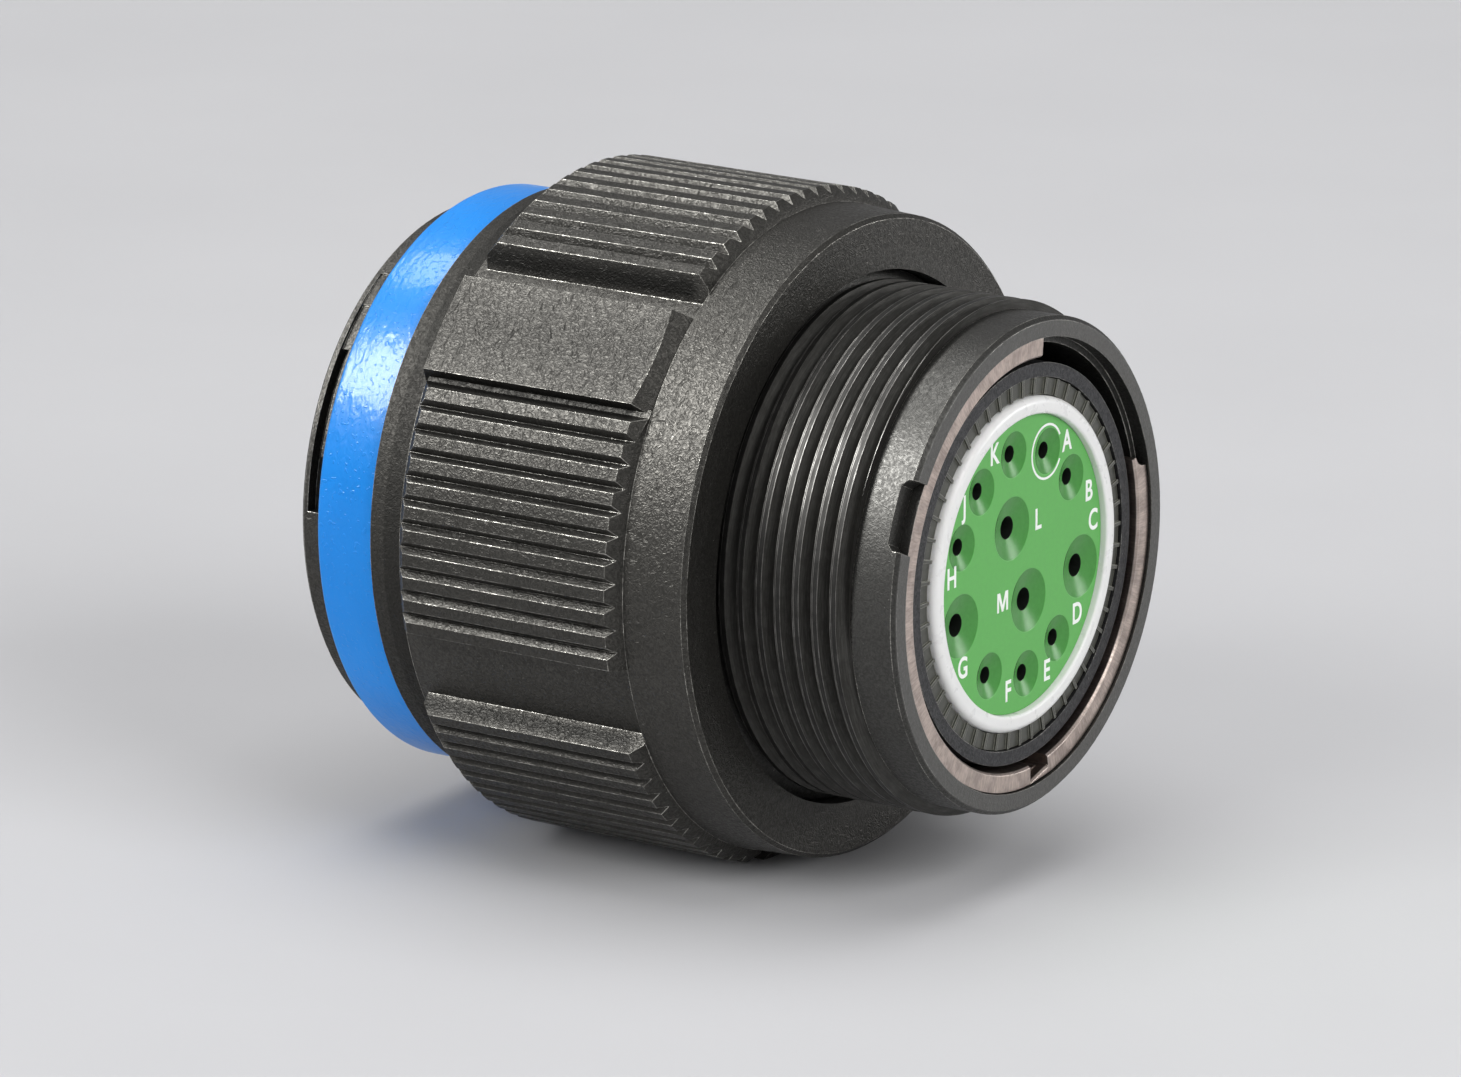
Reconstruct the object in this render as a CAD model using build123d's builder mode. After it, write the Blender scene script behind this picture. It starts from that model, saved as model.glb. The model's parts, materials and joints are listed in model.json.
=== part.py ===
from build123d import *

import os
from math import atan, cos, degrees, hypot, radians, sin

# Circular cable connector with a coupling nut, in millimetres.
# The origin is on the axis, in the middle of the rear accessory thread.
# +X points to the wire end and +Z is up. The connector lies on the flat pad under its nut.
# Angles round the axis are counted from +Y towards +Z.

os.makedirs("parts", exist_ok=True)

# Fits and gaps
running_gap = 0.07  # nut turning on the shell, on the radius
end_play = 0.10  # nut between its two stops
assembly_gap = 0.05  # pieces that are put in once and stay
bond_gap = 0.02  # pieces that are pressed or bonded in
cut_margin = 1.0  # how far a cutting tool reaches past the surface that it opens

# Shell, rear part
thread_length = 7.0
thread_crest_radius = 12.0
thread_root_radius = 11.35
thread_end_slope = 0.425
pilot_length = 2.3
pilot_radius = 11.55
pilot_chamfer = 0.2
rim_bore_radius = 10.6
rim_bore_depth = 0.7
channel_radius = 10.25
channel_depth = 6.0
insert_bore_radius = 9.4
notch_angle = 155.7
notch_half_width = 1.65
notch_corner = 0.3

# Shell, bearing and mating part
runout_length = 0.55
neck_radius = 12.43
flange_thickness = 1.8
spring_land_radius = 11.9
spring_lip_radius = 12.35
spring_lip_width = 0.5
body_radius = 11.4
body_length = 3.0
barrel_radius = 9.4
barrel_length = 13.4
barrel_bore_radius = 8.35
barrel_chamfer = 0.3
key_height = 0.8
key_length = 6.4
key_width = 1.3
master_key_width = 2.2
master_key_angle = 90.0
side_key_angles = (20.0, 145.0, 215.0, 320.0)

# Coupling nut, outside
nut_overhang = 0.35
nut_edge_chamfer = 0.2
collar_rear_radius = 15.05
collar_front_radius = 15.2
collar_length = 3.25
grip_floor_radius = 14.8
grip_length = 12.7
grip_step_length = 0.4
plain_radius = 14.1
plain_length = 1.75
band_seat_radius = 13.35
band_radius = 13.7
band_width = 3.35
rim_radius = 12.75
rim_length = 1.65

# Coupling nut, inside
flange_bore_radius = 13.6
relief_bore_radius = 12.6
coupling_bore_radius = 11.85
entry_chamfer = 0.3
ratchet_width = 2.0
ratchet_teeth = 24
ratchet_valley_radius = 13.1

# Grip of the nut: ridges and pads that stand out of the recess
crest_radius = 15.9
ridge_root_radius = 15.3
ridge_pitch = 4.0
ridge_land = 2.0
ridge_flank = 1.6
top_group_flank = 4.0
ridge_end_chamfer = 0.55
ridge_front_gap = 0.4
top_ridges = 16
side_ridges = 11
low_ridges = 12
upright = 90.0
low_group_start = 208.6
pad_angles = (42.0, 138.0, 270.0)
pad_half_angle = 9.0
side_group_gap = 3.0  # from the edge of the upper pad to the crest of the first side ridge
pad_flank = 1.4
pad_front_chamfer = 0.4
pad_rear_chamfer = 0.8
pad_rear_drop = 0.8
root_depth = 0.35  # how far the grip is rooted below the floor of the recess

# Slots and steps in the nut's front rim
slot_count = 3
slot_start = 141.5
slot_angle = 35.5
slot_width = 0.5
slot_wide_angle = 11.8
slot_depth = 0.6
slot_lip = 0.42
rim_steps = ((10.9, 0.16), (8.6, 0.08))  # angle and depth, counted back from each slot

# Retaining ring, washer and detent spring
retaining_ring_thickness = 1.45
washer_thickness = 0.5
washer_side_gap = 0.14
spring_width = 1.8
spring_side_gap = 0.1
spring_thickness = 0.35
spring_gap_angle = 20.0
spring_bumps = 3
bump_top_radius = 12.85
bump_top_half_angle = 0.7
bump_base_half_angle = 3.5
bump_root = 0.12  # how far the bumps are rooted in the spring band

# Seals and springs on the mating barrel
seal_width = 1.8
seal_radius = 11.2
seal_rounding = 0.4
ground_ring_length = 5.0
ground_ring_root = 1.0
ground_ring_thickness = 0.35
ground_fingers = 18
ground_slot_width = 0.6

# Bronze ring inside the rear rim
snap_ring_recess = 0.15
snap_ring_inner_radius = 9.65
snap_ring_skirt = 1.3
snap_ring_gap_start = 17.7
snap_ring_gap_end = 83.8
snap_ring_horn_radius = 0.7
snap_ring_notch_start = 271.9
snap_ring_notch_angle = 8.9
snap_ring_notch_lip = 0.3

# Rings round the green face, and the insert stack
sleeve_recess = 0.45
sleeve_inner_radius = 8.68
serrated_recess = 0.5
serrated_inner_radius = 7.86
fin_count = 52
fin_depth = 0.4
fin_width = 0.12
ferrule_recess = 0.2
ferrule_inner_radius = 7.0
ferrule_length = 2.85
ferrule_chamfer = 0.25
grommet_recess = 0.57
grommet_length = 7.43
disc_length = 7.0
insert_recess = 0.4

# Wire holes: distance from the axis, angle and size of each
small_contact = {
    "funnel": 1.08,
    "funnel_depth": 0.4,
    "hole": 0.415,
    "crimp": 1.05,
    "socket": 0.85,
    "socket_bore": 0.5,
}
large_contact = {
    "funnel": 1.48,
    "funnel_depth": 0.5,
    "hole": 0.54,
    "crimp": 1.4,
    "socket": 1.2,
    "socket_bore": 0.8,
}
outer_circle = 5.36
inner_circle = 2.0
cavities = {
    "a": (outer_circle, 65, small_contact),
    "b": (outer_circle, 36, small_contact),
    "c": (outer_circle, 346, large_contact),
    "d": (outer_circle, 307, small_contact),
    "e": (outer_circle, 276, small_contact),
    "f": (outer_circle, 241, small_contact),
    "g": (outer_circle, 199, large_contact),
    "h": (outer_circle, 159, small_contact),
    "j": (outer_circle, 129, small_contact),
    "k": (outer_circle, 97, small_contact),
    "l": (inner_circle, 112, large_contact),
    "m": (inner_circle, 291, large_contact),
}
contact_recess = 1.0  # crimp barrel, ahead of the rear face of the retention disc
contact_front_recess = 0.5  # mouth of the socket, behind the face of the front insert
socket_bore_depth = 5.0

# Stations along the axis
thread_rear = thread_length / 2
thread_front = -thread_length / 2
rear_rim = thread_rear + pilot_length
nut_rear = thread_front + nut_overhang
ring_front = nut_rear - retaining_ring_thickness
washer_rear = ring_front - end_play
flange_rear = washer_rear - washer_thickness
flange_front = flange_rear - flange_thickness
nut_shoulder = flange_front - end_play
spring_front = flange_front - spring_width
lip_rear = spring_front - spring_side_gap
lip_front = lip_rear - spring_lip_width
body_front = lip_front - body_length
shell_front = body_front - barrel_length
seal_front = body_front - seal_width
ground_ring_front = seal_front - ground_ring_length
collar_front = nut_rear - collar_length
grip_front = collar_front - grip_length
plain_rear = grip_front - grip_step_length
band_rear = plain_rear - plain_length
band_front = band_rear - band_width
nut_front = band_front - rim_length
grommet_rear = rear_rim - grommet_recess
disc_rear = grommet_rear - grommet_length
disc_front = disc_rear - disc_length
insert_front = shell_front + insert_recess
ferrule_rear = rear_rim - ferrule_recess
ferrule_front = ferrule_rear - ferrule_length
serrated_rear = rear_rim - serrated_recess
sleeve_rear = rear_rim - sleeve_recess
contact_rear = disc_rear - contact_recess
contact_front = insert_front + contact_front_recess


def section_plane(angle):
    """Plane through the axis at this angle: local x is along the axis, local y outwards."""
    return Plane(origin=(0, 0, 0), x_dir=(1, 0, 0), z_dir=(0, -sin(radians(angle)), cos(radians(angle))))


def half_section(points, angle=0.0):
    """Closed half section, each point given as (station, radius)."""
    with BuildSketch(section_plane(angle)) as outline:
        with BuildLine():
            Polyline(*points, close=True)
        make_face()
    return outline.sketch


def box_section(front, rear, inner, outer, angle=0.0):
    """Rectangular half section of a plain ring."""
    return half_section([(front, inner), (rear, inner), (rear, outer), (front, outer)], angle)


def polar(radius, angle):
    """Point of a cross-section."""
    return (radius * cos(radians(angle)), radius * sin(radians(angle)))


def ridge_points(start, count):
    """Crests and groove bottoms of a run of ridges in the cross-section."""
    points = []
    for ridge in range(count):
        edge = start + ridge * ridge_pitch
        points.append(polar(crest_radius, edge))
        points.append(polar(crest_radius, edge + ridge_land))
        if ridge < count - 1:
            points.append(polar(ridge_root_radius, edge + (ridge_land + ridge_pitch) / 2))
    return points


def ridge_span(count):
    """Angle from the first to the last crest edge of a run."""
    return (count - 1) * ridge_pitch + ridge_land


def left_groups():
    """Cross-section of the side and low ridges, from the upper pad down to the lowest ridge."""
    foot_radius = grip_floor_radius - root_depth
    pad_edge = pad_angles[1] + pad_half_angle
    side_start = pad_edge + side_group_gap
    side_end = side_start + ridge_span(side_ridges)
    low_end = low_group_start + ridge_span(low_ridges)
    return (
        [
            polar(foot_radius, pad_edge),
            polar(ridge_root_radius, pad_edge),
            polar(ridge_root_radius, side_start - ridge_flank),
        ]
        + ridge_points(side_start, side_ridges)
        + [
            polar(foot_radius, side_end + ridge_flank),
            polar(foot_radius, low_group_start - ridge_flank),
        ]
        + ridge_points(low_group_start, low_ridges)
        + [polar(foot_radius, low_end + ridge_flank)]
    )


def ridge_outline():
    """All five groups of ridges, the same on both sides of the vertical plane."""
    foot_radius = grip_floor_radius - root_depth
    top_start = upright - ridge_span(top_ridges) / 2
    top_reach = ridge_span(top_ridges) / 2 + top_group_flank
    left = left_groups()
    right = [(-y, z) for y, z in reversed(left)]
    top = [polar(foot_radius, upright - top_reach)]
    top += ridge_points(top_start, top_ridges)
    top += [polar(foot_radius, upright + top_reach)]
    return top + left + right


def pad_outline(angle):
    """Cross-section of one flat pad."""
    foot_radius = grip_floor_radius - root_depth
    reach = pad_half_angle + pad_flank
    return [
        polar(foot_radius, angle - reach),
        polar(crest_radius, angle - pad_half_angle),
        polar(crest_radius, angle + pad_half_angle),
        polar(foot_radius, angle + reach),
    ]


def cavity_points(size):
    """Places of all cavities of one size in the cross-section."""
    return [polar(distance, angle) for distance, angle, kind in cavities.values() if kind is size]


# Shell: one turned piece, from the notched rear rim to the keyed mating barrel.
# Its accessory thread is the cylinder at the crest radius, between two end slopes.
with BuildPart() as shell:
    revolve(
        half_section(
            [
                (rear_rim, rim_bore_radius),
                (rear_rim, pilot_radius - pilot_chamfer),
                (rear_rim - pilot_chamfer, pilot_radius),
                (thread_rear, pilot_radius),
                (thread_rear, thread_root_radius),
                (thread_rear - thread_end_slope, thread_crest_radius),
                (thread_front + thread_end_slope, thread_crest_radius),
                (thread_front, thread_root_radius),
                (thread_front - runout_length, neck_radius),
                (flange_rear, neck_radius),
                (flange_rear, flange_bore_radius - running_gap),
                (flange_front, flange_bore_radius - running_gap),
                (flange_front, spring_land_radius),
                (lip_rear, spring_land_radius),
                (lip_rear, spring_lip_radius),
                (lip_front, spring_lip_radius),
                (lip_front, body_radius),
                (body_front, body_radius),
                (body_front, barrel_radius),
                (shell_front + barrel_chamfer, barrel_radius),
                (shell_front, barrel_radius - barrel_chamfer),
                (shell_front, barrel_bore_radius),
                (disc_front, barrel_bore_radius),
                (disc_front, insert_bore_radius),
                (rear_rim - channel_depth, insert_bore_radius),
                (rear_rim - channel_depth, channel_radius),
                (rear_rim - rim_bore_depth, channel_radius),
                (rear_rim - rim_bore_depth, rim_bore_radius),
            ]
        ),
        axis=Axis.X,
    )
    for key_angle in (master_key_angle,) + side_key_angles:
        width = master_key_width if key_angle == master_key_angle else key_width
        key_plane = Plane(origin=(shell_front, 0, 0), x_dir=(0, *polar(1, key_angle)), z_dir=(1, 0, 0))
        with BuildSketch(key_plane):
            with Locations((barrel_radius, 0)):
                Rectangle(2 * key_height, width)
            Circle(barrel_radius - barrel_chamfer, mode=Mode.SUBTRACT)
        extrude(amount=key_length)
    notch_plane = Plane(origin=(0, 0, 0), x_dir=(1, 0, 0), z_dir=(0, *polar(1, notch_angle)))
    notch_floor = rear_rim - rim_bore_depth
    with BuildSketch(notch_plane.offset(channel_radius)):
        with BuildLine():
            Polyline(
                (rear_rim + pilot_chamfer, -notch_half_width),
                (notch_floor + notch_corner, -notch_half_width),
                (notch_floor, notch_corner - notch_half_width),
                (notch_floor, notch_half_width - notch_corner),
                (notch_floor + notch_corner, notch_half_width),
                (rear_rim + pilot_chamfer, notch_half_width),
                close=True,
            )
        make_face()
    extrude(amount=pilot_radius, mode=Mode.SUBTRACT)
shell.part.label = "shell"
export_step(shell.part, "parts/shell.step")

# Pads of the grip, cut to their own end slopes
with BuildPart() as pads:
    with BuildSketch(Plane.YZ.offset(grip_front)):
        for pad_angle in pad_angles:
            with BuildLine():
                Polyline(*pad_outline(pad_angle), close=True)
            make_face()
    extrude(amount=grip_length)
    revolve(
        half_section(
            [
                (grip_front, 0),
                (grip_front, grip_floor_radius),
                (grip_front + pad_front_chamfer, crest_radius),
                (collar_front - pad_rear_chamfer, crest_radius),
                (collar_front, crest_radius - pad_rear_drop),
                (collar_front, 0),
            ]
        ),
        axis=Axis.X,
        mode=Mode.INTERSECT,
    )

# Coupling nut: ridges with chamfered ends, then the turned body, pads, ratchet and rim slots
with BuildPart() as coupling_nut:
    with BuildSketch(Plane.YZ.offset(grip_front + ridge_front_gap)):
        with BuildLine():
            Polyline(*ridge_outline(), close=True)
        make_face()
        Circle(flange_bore_radius + running_gap, mode=Mode.SUBTRACT)
    extrude(amount=grip_length - ridge_front_gap)
    crest_middle_radius = crest_radius * cos(radians(ridge_land / 2))
    crest_ends = coupling_nut.edges().filter_by(Axis.X, reverse=True).filter_by(
        lambda edge: abs(hypot(edge.center().Y, edge.center().Z) - crest_middle_radius) < bond_gap
    )
    chamfer(crest_ends, length=ridge_end_chamfer)
    revolve(
        half_section(
            [
                (nut_rear, flange_bore_radius),
                (nut_rear, collar_rear_radius - nut_edge_chamfer),
                (nut_rear - nut_edge_chamfer, collar_rear_radius),
                (collar_front, collar_front_radius),
                (collar_front, grip_floor_radius),
                (grip_front, grip_floor_radius),
                (plain_rear, plain_radius),
                (band_rear, plain_radius),
                (band_rear, band_seat_radius),
                (band_front, band_seat_radius),
                (band_front, rim_radius),
                (nut_front + nut_edge_chamfer, rim_radius),
                (nut_front, rim_radius - nut_edge_chamfer),
                (nut_front, coupling_bore_radius + entry_chamfer),
                (nut_front + entry_chamfer, coupling_bore_radius),
                (body_front, coupling_bore_radius),
                (body_front, relief_bore_radius),
                (nut_shoulder, relief_bore_radius),
                (nut_shoulder, flange_bore_radius),
            ]
        ),
        axis=Axis.X,
    )
    add(pads.part)
    ratchet_points = []
    for tooth in range(ratchet_teeth):
        valley = tooth * 360 / ratchet_teeth
        ratchet_points.append(polar(ratchet_valley_radius, valley))
        ratchet_points.append(polar(relief_bore_radius - running_gap, valley + 180 / ratchet_teeth))
    with BuildSketch(Plane.YZ.offset(nut_shoulder - ratchet_width)):
        with BuildLine():
            Polyline(*ratchet_points, close=True)
        make_face()
    extrude(amount=ratchet_width, mode=Mode.SUBTRACT)
    slot_front = nut_front + slot_lip
    slot_floor = rim_radius - slot_depth
    cut_top = rim_radius + cut_margin
    for slot in range(slot_count):
        opening = slot_start + slot * 360 / slot_count
        revolve(
            box_section(slot_front, slot_front + slot_width, slot_floor, cut_top, opening),
            axis=Axis.X,
            revolution_arc=slot_angle,
            mode=Mode.SUBTRACT,
        )
        wide_start = opening + slot_angle - slot_wide_angle
        revolve(
            box_section(slot_front, band_front, slot_floor, cut_top, wide_start),
            axis=Axis.X,
            revolution_arc=slot_wide_angle,
            mode=Mode.SUBTRACT,
        )
        step_start = opening
        for step_angle, step_depth in rim_steps:
            step_start -= step_angle
            revolve(
                box_section(slot_front, band_front, rim_radius - step_depth, cut_top, step_start),
                axis=Axis.X,
                revolution_arc=step_angle,
                mode=Mode.SUBTRACT,
            )
coupling_nut.part.label = "coupling_nut"
export_step(coupling_nut.part, "parts/coupling_nut.step")

# Blue band in its seat
with BuildPart() as colour_band:
    revolve(box_section(band_front, band_rear, band_seat_radius + bond_gap, band_radius), axis=Axis.X)
colour_band.part.label = "colour_band"
export_step(colour_band.part, "parts/colour_band.step")

# Ring pressed into the nut, flush with its rear face, that keeps the nut on the shell flange
with BuildPart() as nut_retaining_ring:
    revolve(box_section(ring_front, nut_rear, neck_radius + running_gap, flange_bore_radius), axis=Axis.X)
nut_retaining_ring.part.label = "nut_retaining_ring"
export_step(nut_retaining_ring.part, "parts/nut_retaining_ring.step")

# Washer between that ring and the flange
with BuildPart() as thrust_washer:
    washer_inner = neck_radius + assembly_gap
    washer_outer = flange_bore_radius - washer_side_gap
    revolve(box_section(flange_rear, washer_rear, washer_inner, washer_outer), axis=Axis.X)
thrust_washer.part.label = "thrust_washer"
export_step(thrust_washer.part, "parts/thrust_washer.step")

# Open spring ring with bumps that sit in valleys of the nut's ratchet
with BuildPart() as detent_spring:
    spring_inner = spring_land_radius + assembly_gap
    spring_outer = spring_inner + spring_thickness
    spring_start = 180 / spring_bumps + spring_gap_angle / 2
    revolve(
        box_section(spring_front, flange_front, spring_inner, spring_outer, spring_start),
        axis=Axis.X,
        revolution_arc=360 - spring_gap_angle,
    )
    with BuildSketch(Plane.YZ.offset(spring_front)):
        for bump in range(spring_bumps):
            bump_angle = bump * 360 / spring_bumps
            with BuildLine():
                Polyline(
                    polar(spring_outer - bump_root, bump_angle - bump_base_half_angle),
                    polar(bump_top_radius, bump_angle - bump_top_half_angle),
                    polar(bump_top_radius, bump_angle + bump_top_half_angle),
                    polar(spring_outer - bump_root, bump_angle + bump_base_half_angle),
                    close=True,
                )
            make_face()
    extrude(amount=spring_width)
detent_spring.part.label = "detent_spring"
export_step(detent_spring.part, "parts/detent_spring.step")

# Rubber seal against the shell's front shoulder
with BuildPart() as peripheral_seal:
    seal_inner = barrel_radius + bond_gap
    revolve(
        half_section(
            [
                (body_front, seal_inner),
                (body_front, seal_radius),
                (seal_front + seal_rounding, seal_radius),
                (seal_front, seal_radius - seal_rounding),
                (seal_front, seal_inner),
            ]
        ),
        axis=Axis.X,
    )
peripheral_seal.part.label = "peripheral_seal"
export_step(peripheral_seal.part, "parts/peripheral_seal.step")

# Grounding spring: a root band and fingers round the mating barrel
with BuildPart() as grounding_ring:
    ground_inner = barrel_radius + bond_gap
    ground_outer = ground_inner + ground_ring_thickness
    revolve(box_section(ground_ring_front, seal_front, ground_inner, ground_outer), axis=Axis.X)
    with BuildSketch(Plane.YZ.offset(ground_ring_front)):
        with PolarLocations(ground_inner, ground_fingers):
            Rectangle(cut_margin, ground_slot_width)
    extrude(amount=ground_ring_length - ground_ring_root, mode=Mode.SUBTRACT)
grounding_ring.part.label = "grounding_ring"
export_step(grounding_ring.part, "parts/grounding_ring.step")

# Bronze open ring of L section inside the rear rim
with BuildPart() as rear_snap_ring:
    ring_face = rear_rim - snap_ring_recess
    ledge = rear_rim - rim_bore_depth
    ring_outer = rim_bore_radius - assembly_gap
    skirt_outer = channel_radius - assembly_gap
    gap_angle = snap_ring_gap_end - snap_ring_gap_start
    revolve(
        half_section(
            [
                (ring_face, snap_ring_inner_radius),
                (ring_face, ring_outer),
                (ledge, ring_outer),
                (ledge, skirt_outer),
                (ledge - snap_ring_skirt, skirt_outer),
                (ledge - snap_ring_skirt, snap_ring_inner_radius),
            ],
            snap_ring_gap_end,
        ),
        axis=Axis.X,
        revolution_arc=360 - gap_angle,
    )
    with BuildSketch(Plane.YZ.offset(ledge - snap_ring_skirt)):
        with Locations(polar(ring_outer, snap_ring_gap_start)):
            Circle(snap_ring_horn_radius)
    extrude(amount=snap_ring_skirt + rim_bore_depth, mode=Mode.SUBTRACT)
    revolve(
        box_section(
            ledge - snap_ring_skirt,
            ring_face,
            snap_ring_inner_radius,
            ring_outer - snap_ring_notch_lip,
            snap_ring_notch_start,
        ),
        axis=Axis.X,
        revolution_arc=snap_ring_notch_angle,
        mode=Mode.SUBTRACT,
    )
rear_snap_ring.part.label = "rear_snap_ring"
export_step(rear_snap_ring.part, "parts/rear_snap_ring.step")

# Sleeve round the inserts
with BuildPart() as insert_sleeve:
    revolve(
        box_section(disc_rear, sleeve_rear, sleeve_inner_radius, insert_bore_radius - assembly_gap),
        axis=Axis.X,
    )
insert_sleeve.part.label = "insert_sleeve"
export_step(insert_sleeve.part, "parts/insert_sleeve.step")

# Ring with radial fins on its rear face
with BuildPart() as serrated_ring:
    fin_root = serrated_rear - fin_depth
    fin_outer = sleeve_inner_radius - assembly_gap
    revolve(box_section(disc_rear, fin_root, serrated_inner_radius, fin_outer), axis=Axis.X)
    with BuildSketch(Plane.YZ.offset(fin_root)):
        with PolarLocations((serrated_inner_radius + fin_outer) / 2, fin_count):
            Rectangle(fin_outer - serrated_inner_radius - assembly_gap, fin_width)
    extrude(amount=fin_depth)
serrated_ring.part.label = "serrated_ring"
export_step(serrated_ring.part, "parts/serrated_ring.step")

# White ring round the green face
with BuildPart() as grommet_ferrule:
    revolve(
        box_section(ferrule_front, ferrule_rear, ferrule_inner_radius, serrated_inner_radius - assembly_gap),
        axis=Axis.X,
    )
    chamfer(grommet_ferrule.edges().group_by(Axis.X)[-1], length=ferrule_chamfer)
grommet_ferrule.part.label = "grommet_ferrule"
export_step(grommet_ferrule.part, "parts/grommet_ferrule.step")

# Green wire grommet, stepped under the rings, with a funnel at each hole
with BuildPart() as wire_grommet:
    revolve(
        half_section(
            [
                (grommet_rear, 0),
                (grommet_rear, ferrule_inner_radius - bond_gap),
                (ferrule_front, ferrule_inner_radius - bond_gap),
                (ferrule_front, serrated_inner_radius - assembly_gap),
                (disc_rear, serrated_inner_radius - assembly_gap),
                (disc_rear, 0),
            ]
        ),
        axis=Axis.X,
    )
    for size in (small_contact, large_contact):
        funnel_slope = degrees(atan((size["funnel"] - size["hole"]) / size["funnel_depth"]))
        with BuildSketch(Plane.YZ.offset(disc_rear)):
            with Locations(*cavity_points(size)):
                Circle(size["hole"])
        extrude(amount=grommet_length, mode=Mode.SUBTRACT)
        with BuildSketch(Plane.YZ.offset(grommet_rear)):
            with Locations(*cavity_points(size)):
                Circle(size["funnel"])
        extrude(amount=-size["funnel_depth"], taper=funnel_slope, mode=Mode.SUBTRACT)
wire_grommet.part.label = "wire_grommet"
export_step(wire_grommet.part, "parts/wire_grommet.step")

# Hard disc that holds the crimp barrels of the contacts
with BuildPart() as retention_disc:
    revolve(box_section(disc_front, disc_rear, 0, insert_bore_radius - assembly_gap), axis=Axis.X)
    for size in (small_contact, large_contact):
        with BuildSketch(Plane.YZ.offset(disc_front)):
            with Locations(*cavity_points(size)):
                Circle(size["crimp"] + assembly_gap)
        extrude(amount=disc_length, mode=Mode.SUBTRACT)
retention_disc.part.label = "retention_disc"
export_step(retention_disc.part, "parts/retention_disc.step")

# Hard front insert, whose rear face stops the shoulders of the contacts
with BuildPart() as front_insert:
    revolve(box_section(insert_front, disc_front, 0, barrel_bore_radius - assembly_gap), axis=Axis.X)
    for size in (small_contact, large_contact):
        with BuildSketch(Plane.YZ.offset(insert_front)):
            with Locations(*cavity_points(size)):
                Circle(size["socket"] + assembly_gap)
        extrude(amount=disc_front - insert_front, mode=Mode.SUBTRACT)
front_insert.part.label = "front_insert"
export_step(front_insert.part, "parts/front_insert.step")

# Contacts: crimp barrel behind, socket in front, each on the axis of its cavity
for letter, (distance, angle, size) in cavities.items():
    contact_axis = Axis((0, *polar(distance, angle)), (1, 0, 0))
    with BuildPart() as contact:
        with BuildSketch(Plane(origin=contact_axis.position, x_dir=(1, 0, 0), z_dir=(0, 0, 1))):
            with BuildLine():
                Polyline(
                    (contact_rear, 0),
                    (contact_rear, size["crimp"]),
                    (disc_front, size["crimp"]),
                    (disc_front, size["socket"]),
                    (contact_front, size["socket"]),
                    (contact_front, size["socket_bore"]),
                    (contact_front + socket_bore_depth, size["socket_bore"]),
                    (contact_front + socket_bore_depth, 0),
                    close=True,
                )
            make_face()
        revolve(axis=contact_axis)
    contact.part.label = f"contact_{letter}"
    export_step(contact.part, f"parts/contact_{letter}.step")
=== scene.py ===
import json
import math

import bmesh
import bpy
from mathutils import Matrix, Vector
from mathutils.geometry import delaunay_2d_cdt


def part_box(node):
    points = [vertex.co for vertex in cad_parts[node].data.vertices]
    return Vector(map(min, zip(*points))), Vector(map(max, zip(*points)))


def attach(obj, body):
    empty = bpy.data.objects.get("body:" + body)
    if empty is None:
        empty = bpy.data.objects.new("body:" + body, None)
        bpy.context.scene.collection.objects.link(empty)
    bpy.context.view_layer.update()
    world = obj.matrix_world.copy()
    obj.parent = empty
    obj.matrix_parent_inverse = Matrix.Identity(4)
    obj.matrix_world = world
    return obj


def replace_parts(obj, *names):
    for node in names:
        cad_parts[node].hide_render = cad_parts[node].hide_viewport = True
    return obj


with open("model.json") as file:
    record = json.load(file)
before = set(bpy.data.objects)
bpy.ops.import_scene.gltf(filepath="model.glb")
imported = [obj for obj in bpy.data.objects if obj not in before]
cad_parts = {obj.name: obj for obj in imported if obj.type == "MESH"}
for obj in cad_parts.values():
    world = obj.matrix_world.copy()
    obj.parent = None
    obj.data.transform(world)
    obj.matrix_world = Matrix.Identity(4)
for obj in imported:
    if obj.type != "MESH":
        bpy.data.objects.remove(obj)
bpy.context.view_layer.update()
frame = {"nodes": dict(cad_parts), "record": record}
nodes = frame["nodes"]
MM = 0.001
weld_gap = 0.0004 * MM  # vertices closer than this are joined

# Places that the looks share with the solids, in metres
floor_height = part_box("coupling_nut")[0].z
nut_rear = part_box("coupling_nut")[1].x
rear_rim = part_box("shell")[1].x
face_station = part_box("wire_grommet")[1].x
flange_bore_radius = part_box("nut_retaining_ring")[1].y
collar_length = 3.25 * MM
grip_length = 12.7 * MM
grip_rear = nut_rear - collar_length
grip_front = grip_rear - grip_length
grip_crest = 15.9 * MM
recess_floor = 14.8 * MM
front_land_end = -21.25 * MM
front_land_start = grip_front - 0.3 * MM

# Rear accessory thread, a right-hand helix
thread_crest = 12.0 * MM
thread_depth = 0.62 * MM
thread_root_limit = 11.34 * MM
thread_pitch = 1.0 * MM
thread_half_length = 3.5 * MM
thread_pilot = 11.54 * MM
thread_phase = 0.334
thread_steps = 240
# Shape of one pitch: place along it, from the middle of a crest, and share of the depth
thread_shape = (
    (-0.29, 0.22), (-0.26, 0.13), (-0.225, 0.13), (-0.18, 0.24), (-0.14, 0.0), (-0.105, 0.0),
    (0.115, 0.0), (0.15, 0.0), (0.45, 0.95), (0.50, 1.0), (0.57, 1.0), (0.61, 0.94),
)
thread_edge_parts = (1, 4, 6)
thread_crest_parts = (5,)

# Values between which most of a noise lies
noise_low, noise_high = 0.3, 0.7

# Plating: size of its grain, and its roughness
plating_grain = 0.14 * MM
plating_roughness = 0.46

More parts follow.
